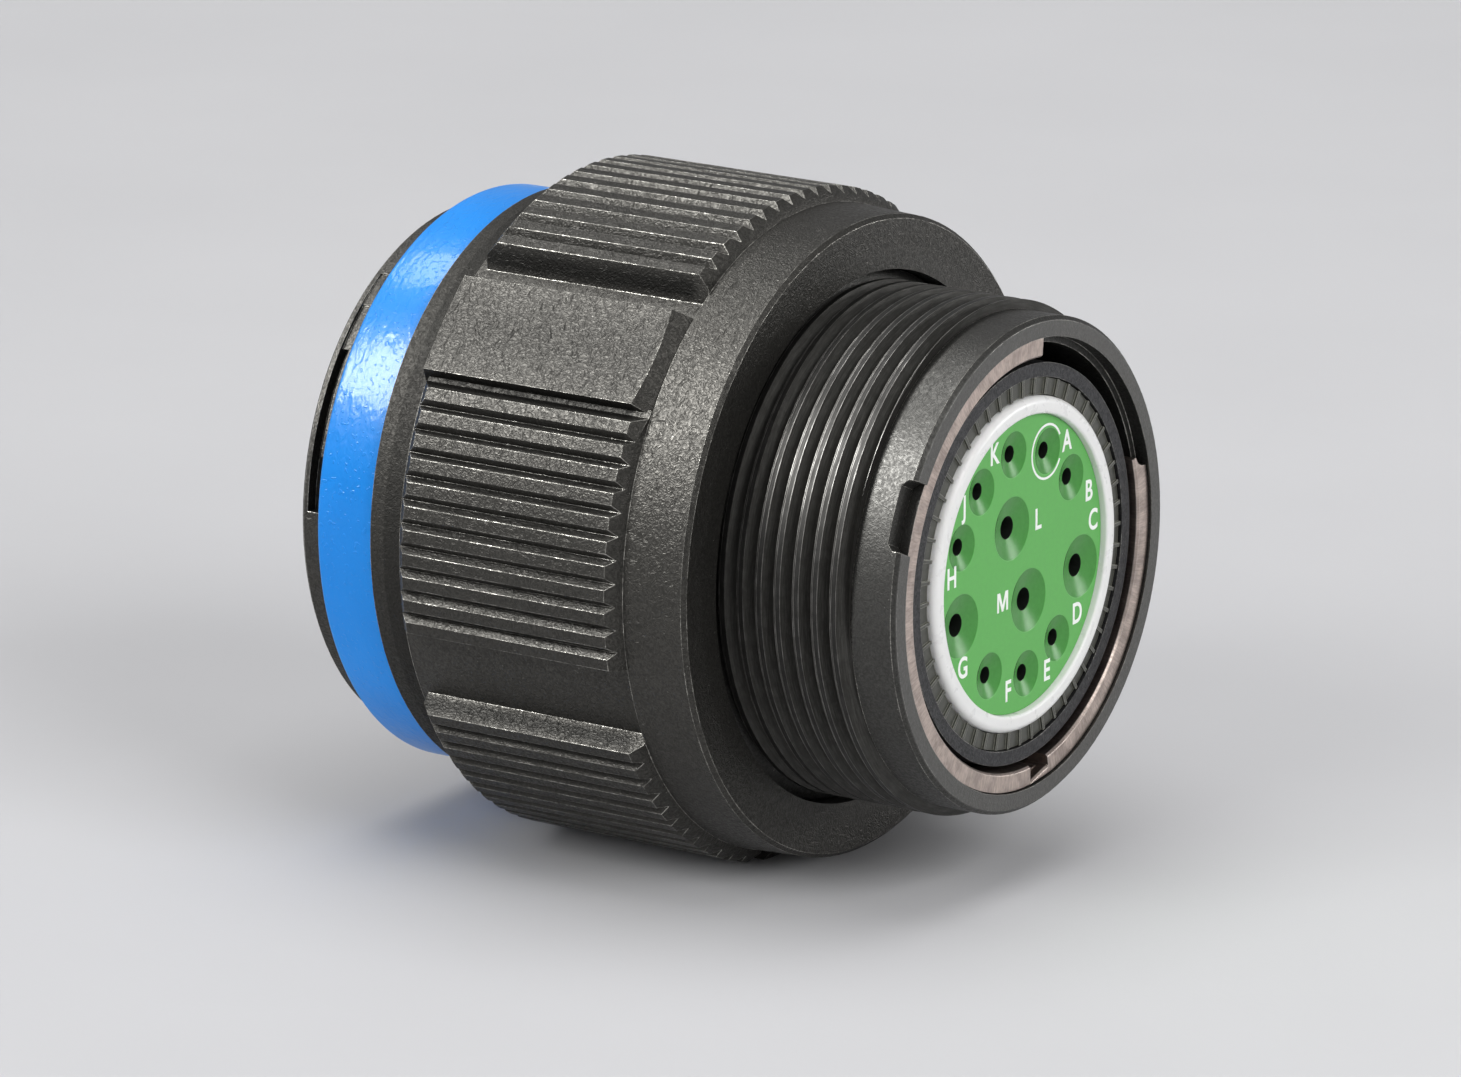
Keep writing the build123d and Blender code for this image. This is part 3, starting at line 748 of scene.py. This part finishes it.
def make_shell():
    """The shell's own mesh, with the thread cylinder cut away and the helix in its place."""
    build = bmesh.new()
    build.from_mesh(nodes["shell"].data)
    margin = 0.001 * MM
    for vertex in build.verts:
        x, y, z = vertex.co
        vertex.tag = abs(x) <= thread_half_length + margin and math.hypot(y, z) >= thread_root_limit
    doomed = [face for face in build.faces if all(vertex.tag for vertex in face.verts)]
    bmesh.ops.delete(build, geom=doomed, context="FACES")
    sections = []
    for step in range(thread_steps + 1):
        turn = 2 * math.pi * step / thread_steps
        sections.append([build.verts.new(on_circle(x, r, turn)) for x, r in thread_section(turn)])
    cut = join_sections(build, sections, closed=False, profile_closed=False)
    strips = len(sections[0]) - 1
    for place, face in enumerate(cut):
        part = (place % strips - 1) % len(thread_shape)
        face.material_index = 1
        if part in thread_crest_parts:
            face.material_index = 2
        if part in thread_edge_parts:
            face.material_index = 3
    added = [vertex for section in sections for vertex in section]
    bmesh.ops.remove_doubles(build, verts=added, dist=weld_gap)
    bmesh.ops.dissolve_degenerate(build, edges=build.edges, dist=weld_gap)
    thread_faces = [face for face in build.faces if face.material_index > 0]
    for face in thread_faces:
        middle = face.calc_center_median()
        if face.normal.dot(Vector((0, middle.y, middle.z))) < 0:
            face.normal_flip()
    finishes = (materials["shell_metal"], thread_flank, thread_crest_metal, thread_edge)
    piece = add_piece("threaded_shell", build, "shell_metal", "plug", *finishes)
    shade_softly(piece)
    return piece


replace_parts(make_shell(), "shell")


# Inner thread of the nut, in three starts
def make_coupling_thread():
    """Three stub ridges that wind along the coupling bore."""
    starts = 3
    lead = 7.62 * MM
    wall = 11.88 * MM
    crest = 11.42 * MM
    foot_half, crest_half = 0.62 * MM, 0.34 * MM
    rear_end, front_end = -13.2 * MM, -25.2 * MM
    steps = 130
    build = bmesh.new()
    for start in range(starts):
        sections = []
        for step in range(steps + 1):
            station = rear_end + (front_end - rear_end) * step / steps
            turn = 2 * math.pi * (station / lead + start / starts)
            profile = (
                (station - foot_half, wall),
                (station - crest_half, crest),
                (station + crest_half, crest),
                (station + foot_half, wall),
            )
            sections.append([build.verts.new(on_circle(x, r, turn)) for x, r in profile])
        join_sections(build, sections, closed=False)
        build.faces.new(sections[0])
        build.faces.new(sections[-1])
    bmesh.ops.recalc_face_normals(build, faces=build.faces)
    piece = add_piece("coupling_thread", build, "nut_metal", "nut")
    shade_softly(piece)


make_coupling_thread()


# Bronze ring in the rear rim
def make_snap_ring():
    """Open bronze ring of L section, with a bevelled inner edge, a horn and a slanted notch.

    Its angles are in degrees from +Y towards +Z. Near the horn its sections stand closer.
    """
    low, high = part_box("rear_snap_ring")
    face, ledge, foot = high.x, 5.1 * MM, low.x
    inner, outer, skirt = 9.65 * MM, 10.55 * MM, 10.2 * MM
    bevel = 0.10 * MM
    horn = 0.7 * MM
    first, last = 83.8, 377.7
    notch_start, notch_end = 271.9, 280.8
    notch_deep, notch_shallow = 10.44 * MM, 10.16 * MM
    clearance = 0.2
    horn_angle, horn_step = 5, 0.5
    stops = [first + i for i in range(1, int(last - first))]
    stops = [stop for stop in stops if not notch_start - clearance < stop < notch_end + clearance]
    plan = [(first, inner)] + [(stop, inner) for stop in stops if stop < notch_start]
    plan += [(notch_start, inner), (notch_start, notch_deep)]
    plan += [(notch_end, notch_shallow), (notch_end, inner)]
    plan += [(stop, inner) for stop in stops if notch_end < stop < last - horn_angle]
    horn_stops = round(horn_angle / horn_step) + 1
    plan += [(last - horn_angle + i * horn_step, inner) for i in range(horn_stops)]
    build = bmesh.new()
    sections = []
    for degree, edge in plan:
        from_end = math.radians(last - degree) * outer
        rim = outer
        if from_end < horn:
            rim = max(edge + 2 * bevel, outer - math.sqrt(horn**2 - from_end**2))
        side = min(skirt, rim)
        turn = math.radians(degree)
        profile = (
            (foot, edge), (face - bevel, edge), (face, edge + bevel), (face, rim),
            (ledge, rim), (ledge, side), (foot, side),
        )
        sections.append([build.verts.new(on_circle(x, r, turn)) for x, r in profile])
    around = join_sections(build, sections, closed=False)
    outer_wall = profile.index((face, rim))
    for place, side_face in enumerate(around):
        side_face.material_index = 1 if place % len(profile) == outer_wall else 0
    build.faces.new(sections[0])
    build.faces.new(sections[-1])
    bmesh.ops.dissolve_degenerate(build, edges=build.edges, dist=2.5 * weld_gap)
    bmesh.ops.recalc_face_normals(build, faces=build.faces)
    finishes = (materials["bronze"], materials["shell_metal"])
    piece = add_piece("bronze_snap_ring", build, "bronze", "plug", *finishes)
    shade_softly(piece)
    return piece


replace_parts(make_snap_ring(), "rear_snap_ring")


# Ring with fine radial fins
def make_fin_ring():
    """Dark ring whose rear face is divided by thin raised fins."""
    low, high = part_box("serrated_ring")
    inner, outer = 7.86 * MM, high.y
    fins = 52
    gap_parts = 6
    fin_height, fin_half_angle = 0.12 * MM, 0.010
    gap_angle = 2 * math.pi / fins - 2 * fin_half_angle
    floor = high.x - fin_height
    plan = []
    for fin in range(fins):
        start, end = (2 * math.pi * fin / fins + side * fin_half_angle for side in (-1, 1))
        plan += [(start, floor), (start, high.x), (end, high.x), (end, floor)]
        plan += [(end + gap_angle * part / gap_parts, floor) for part in range(1, gap_parts)]
    build = bmesh.new()
    sections = []
    for turn, top in plan:
        profile = ((low.x, inner), (low.x, outer), (top, outer), (top, inner))
        sections.append([build.verts.new(on_circle(x, r, turn)) for x, r in profile])
    join_sections(build, sections)
    bmesh.ops.remove_doubles(build, verts=build.verts, dist=weld_gap)
    bmesh.ops.dissolve_degenerate(build, edges=build.edges, dist=weld_gap)
    bmesh.ops.recalc_face_normals(build, faces=build.faces)
    piece = add_piece("fin_ring", build, "fin_plastic", "plug")
    shade_softly(piece)
    return piece


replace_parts(make_fin_ring(), "serrated_ring")


# Green face with its funnels, holes and letters
hole_steps = 64
grommet_steps = 192
bowl_steps = 6
bowl_curve = 0.85
rim_width = 0.035 * MM
rim_drop = 0.012 * MM
funnels = {
    "small": {"radius": 1.08 * MM, "depth": 0.26 * MM, "hole": 0.40 * MM},
    "large": {"radius": 1.48 * MM, "depth": 0.30 * MM, "hole": 0.54 * MM},
}
large_contact_width = 2.4 * MM
# Where each letter stands, counted from the middle of its hole, in millimetres
letter_offsets = {
    "A": (1.66, 0.10), "B": (1.55, -1.02), "C": (1.09, 1.94), "D": (1.74, 0.75),
    "E": (1.79, -0.33), "F": (1.60, -1.16), "G": (0.19, -2.06), "H": (-0.86, -1.28),
    "J": (-1.45, -0.38), "K": (-1.66, 0.34), "L": (2.22, -0.09), "M": (-2.24, 0.44),
}


def cavity(letter):
    """Middle and funnel of a hole, from the contact behind it."""
    low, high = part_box("contact_" + letter.lower())
    kind = "large" if high.y - low.y > large_contact_width else "small"
    return ((low.y + high.y) / 2, (low.z + high.z) / 2), funnels[kind]


def make_ring(build, station, centre, radius, steps):
    """Vertices of a circle across the axis."""
    turns = [2 * math.pi * step / steps for step in range(steps)]
    return [build.verts.new(on_circle(station, radius, turn, centre)) for turn in turns]


def fill_plate(build, outer, holes):
    """Flat faces between an outer circle and round openings."""
    same_place = 1e-9
    rings = [outer] + [ring for ring, _, _ in holes]
    vertices = [vertex for ring in rings for vertex in ring]
    edges = []
    for ring in rings:
        base = vertices.index(ring[0])
        edges += [(base + i, base + (i + 1) % len(ring)) for i in range(len(ring))]
    places = [Vector((vertex.co.y, vertex.co.z)) for vertex in vertices]
    found, _, triangles, sources, _, _ = delaunay_2d_cdt(places, edges, [], 0, same_place)
    for triangle in triangles:
        middle = sum((found[i] for i in triangle), Vector((0, 0))) / 3
        if all((middle - Vector(centre)).length > radius for _, centre, radius in holes):
            build.faces.new([vertices[sources[i][0]] for i in triangle])


def make_grommet():
    """Green rubber body with a flat face, crisp funnels whose walls carry painted shade, and bores
    painted black as shade.
    """
    low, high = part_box("wire_grommet")
    step_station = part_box("grommet_ferrule")[0].x
    neck = 6.98 * MM
    outline = ((face_station, neck), (step_station, neck), (step_station, high.y), (low.x, high.y))
    build = bmesh.new()
    side = [make_ring(build, x, (0, 0), radius, grommet_steps) for x, radius in outline]
    join_sections(build, side, closed=False)
    face_holes, back_holes = [], []
    for letter in letter_offsets:
        centre, size = cavity(letter)
        radius, depth, hole = size["radius"], size["depth"], size["hole"]
        rim = make_ring(build, face_station, centre, radius + rim_width, hole_steps)
        face_holes.append((rim, centre, radius + rim_width))
        wall = [make_ring(build, face_station - rim_drop, centre, radius, hole_steps)]
        for step in range(1, bowl_steps + 1):
            share = step / bowl_steps
            sunk = rim_drop + (depth - rim_drop) * share**bowl_curve
            width = radius + (hole - radius) * share
            wall.append(make_ring(build, face_station - sunk, centre, width, hole_steps))
        bore = make_ring(build, low.x, centre, hole, hole_steps)
        back_holes.append((bore, centre, hole))
        join_sections(build, [rim, wall[0]], closed=False)
        for face in join_sections(build, wall, closed=False):
            face.material_index = 1
        for face in join_sections(build, [wall[-1], bore], closed=False):
            face.material_index = 2
        for ring in (rim, wall[0], wall[-1]):
            mark_sharp(build, ring)
    fill_plate(build, side[0], face_holes)
    fill_plate(build, side[-1], back_holes)
    for ring in side:
        mark_sharp(build, ring)
    bmesh.ops.recalc_face_normals(build, faces=build.faces)
    smooth_faces(build)
    # The funnel walls and the bores carry painted shade
    finishes = (materials["green_rubber"], shaded_funnel_material(), bore_shade_black)
    return add_piece("green_grommet", build, "green_rubber", "plug", *finishes)


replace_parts(make_grommet(), "wire_grommet")

# White print on the green face
ink_thickness = 0.010 * MM
letter_height = 0.92 * MM
font_height = 0.66  # height of the font's capitals at size 1
letter_narrowing = 0.84
bold_offset = 0.028 * MM
# Outline of the M from its lower left corner, in heights: the font's own breaks when made bold
m_outline = (
    (0.00, 0.00), (0.16, 0.00), (0.16, 0.70), (0.43, 0.00), (0.57, 0.00), (0.84, 0.70),
    (0.84, 0.00), (1.00, 0.00), (1.00, 1.00), (0.75, 1.00), (0.50, 0.32), (0.25, 1.00),
    (0.00, 1.00),
)


def add_font_letter(joined, letter, middle):
    """One bold letter of Blender's own font, raised from the face."""
    curve = bpy.data.curves.new("letter", "FONT")
    curve.body = letter
    curve.size = letter_height / font_height
    curve.align_x = "CENTER"
    curve.align_y = "CENTER"
    curve.extrude = ink_thickness
    curve.offset = bold_offset
    curve.resolution_u = 6
    holder = bpy.data.objects.new("letter", curve)
    bpy.context.scene.collection.objects.link(holder)
    bpy.context.view_layer.update()
    evaluated = holder.evaluated_get(bpy.context.evaluated_depsgraph_get())
    shape = bpy.data.meshes.new_from_object(evaluated)
    upright = Matrix(((0, 0, 1), (1, 0, 0), (0, 1, 0))).to_4x4()
    shape.transform(Matrix.Diagonal((letter_narrowing, 1, 1, 1)))
    shape.transform(Matrix.Translation((face_station, *middle)) @ upright)
    joined.from_mesh(shape)
    bpy.data.objects.remove(holder)
    bpy.data.meshes.remove(shape)


def add_m(joined, middle):
    """The letter M from its own outline."""
    corners = [
        (middle[0] + (x - 0.5) * letter_height, middle[1] + (y - 0.5) * letter_height)
        for x, y in m_outline
    ]
    sections = []
    for station in (face_station - ink_thickness, face_station + ink_thickness):
        sections.append([joined.verts.new((station, y, z)) for y, z in corners])
    faces = join_sections(joined, sections, closed=False)
    faces += [joined.faces.new(section) for section in sections]
    bmesh.ops.recalc_face_normals(joined, faces=faces)


def make_letters():
    """All letters as one thin raised mesh on the green face."""
    joined = bmesh.new()
    for letter, (y, z) in letter_offsets.items():
        centre, _ = cavity(letter)
        middle = (centre[0] + y * MM, centre[1] + z * MM)
        if letter == "M":
            add_m(joined, middle)
        else:
            add_font_letter(joined, letter, middle)
    add_piece("cavity_letters", joined, "white_plastic", "plug", letter_ink)


def make_first_hole_circle():
    """Open white circle round the hole A, with its gap towards the letter."""
    hole_centre, _ = cavity("A")
    shift = 0.10 * MM
    centre = (hole_centre[0] - shift, hole_centre[1])
    inner, width = 1.21 * MM, 0.11 * MM
    half_gap, step = 27, 3
    below, above = face_station - ink_thickness, face_station + ink_thickness
    profile = ((below, inner), (above, inner), (above, inner + width), (below, inner + width))
    build = bmesh.new()
    sections = []
    for degree in range(half_gap, 361 - half_gap, step):
        turn = math.radians(degree)
        sections.append([build.verts.new(on_circle(x, r, turn, centre)) for x, r in profile])
    join_sections(build, sections, closed=False)
    build.faces.new(sections[0])
    build.faces.new(sections[-1])
    bmesh.ops.recalc_face_normals(build, faces=build.faces)
    add_piece("first_hole_circle", build, "white_plastic", "plug", letter_ink)


make_letters()
make_first_hole_circle()


# Floor, light and camera
def make_floor():
    """A large pale floor under the pad that the nut lies on."""
    mesh = bpy.data.meshes.new("floor")
    reach = 4.0
    corners = [(-reach, -reach), (reach, -reach), (reach, reach), (-reach, reach)]
    mesh.from_pydata([(x, y, floor_height) for x, y in corners], [], [(0, 1, 2, 3)])
    floor = bpy.data.objects.new("floor", mesh)
    bpy.context.scene.collection.objects.link(floor)
    material, tree, shader = new_material("floor_paper")
    tone = add_noise(tree, 30 * MM)
    base = add_ramp(tree, tone, noise_low, noise_high, floor_dark, floor_light)
    link(tree, base, shader.inputs["Base Color"])
    set_inputs(shader, {"Roughness": 0.8, "Specular IOR Level": 0.1})
    fibres = add_noise(tree, 0.6 * MM, detail=2.0)
    surface = add_bump(tree, fibres, strength=0.2, distance=0.03 * MM)
    link(tree, surface, shader.inputs["Normal"])
    mesh.materials.append(material)


# Lamps: direction from the connector, distance and side in metres, power in watts
mirrored_lamps = {
    "key": ((-0.53, -0.565, 0.63), 0.90, 0.34, 14.3),
    "back": ((-0.52, 0.10, 0.85), 0.90, 0.22, 2.4),
    "wire_side": ((0.66, 0.72, 0.14), 0.80, 0.24, 1.35),
    "chamfer_side": ((0.745, -0.09, 0.635), 0.90, 0.40, 1.9),
}
soft_lamps = {
    "front": ((-0.25, -0.85, 0.52), 1.10, 0.60, 5.0),
    "overhead": ((0.00, 0.00, 1.00), 1.30, 1.30, 11.2),
    "fill": ((0.86, -0.22, 0.46), 0.90, 0.50, 5.6),
}
lamp_aim = Vector((-10 * MM, 0, 0))


def add_softbox(name, direction, distance, side, power, mirrored):
    """An area light on the connector, which either its gloss mirrors or its dull side shows."""
    lamp = bpy.data.lights.new(name, "AREA")
    lamp.shape = "RECTANGLE"
    lamp.size, lamp.size_y = side, side
    lamp.energy = power
    holder = bpy.data.objects.new(name, lamp)
    away = Vector(direction).normalized()
    holder.location = away * distance + lamp_aim
    holder.rotation_euler = (-away).to_track_quat("-Z", "Y").to_euler()
    holder.visible_diffuse = not mirrored
    holder.visible_glossy = mirrored
    bpy.context.scene.collection.objects.link(holder)


def make_light():
    """All lamps, and pale surroundings that the gloss and the dull surfaces see dimmer."""
    mirror_share = 0.25
    dim, bright = 0.28, 0.82
    for name, values in mirrored_lamps.items():
        add_softbox(name, *values, mirrored=True)
    for name, values in soft_lamps.items():
        add_softbox(name, *values, mirrored=False)
    world = bpy.data.worlds.new("studio")
    world.use_nodes = True
    bpy.context.scene.world = world
    tree = world.node_tree
    background = tree.nodes["Background"]
    rays = tree.nodes.new("ShaderNodeLightPath").outputs
    seen = add_math(tree, "MAXIMUM", rays["Is Camera Ray"], rays["Is Transmission Ray"])
    mirrored = multiply(tree, rays["Is Glossy Ray"], mirror_share)
    seen = add_math(tree, "MAXIMUM", seen, mirrored)
    set_inputs(background, {"Color": (0.80, 0.80, 0.82, 1)})
    link(tree, add_range(tree, seen, 0.0, 1.0, dim, bright), background.inputs["Strength"])


def make_camera():
    """The photograph's own view, found from its circles and edges."""
    focal_length, frame_width = 9000, 1461  # in pixels of the photograph
    camera = bpy.data.cameras.new("camera")
    camera.sensor_width = 36.0
    camera.lens = camera.sensor_width * focal_length / frame_width
    camera.clip_start = 0.02
    camera.clip_end = 20.0
    holder = bpy.data.objects.new("camera", camera)
    holder.location = (214.92 * MM, -336.32 * MM, 111.07 * MM)
    yaw, pitch = math.radians(33.86), math.radians(15.50)
    level = math.cos(pitch)
    aim = Vector((-math.sin(yaw) * level, math.cos(yaw) * level, -math.sin(pitch)))
    holder.rotation_euler = aim.to_track_quat("-Z", "Y").to_euler()
    bpy.context.scene.collection.objects.link(holder)
    bpy.context.scene.camera = holder


make_floor()
make_light()
make_camera()
bpy.context.scene.view_settings.view_transform = "Standard"
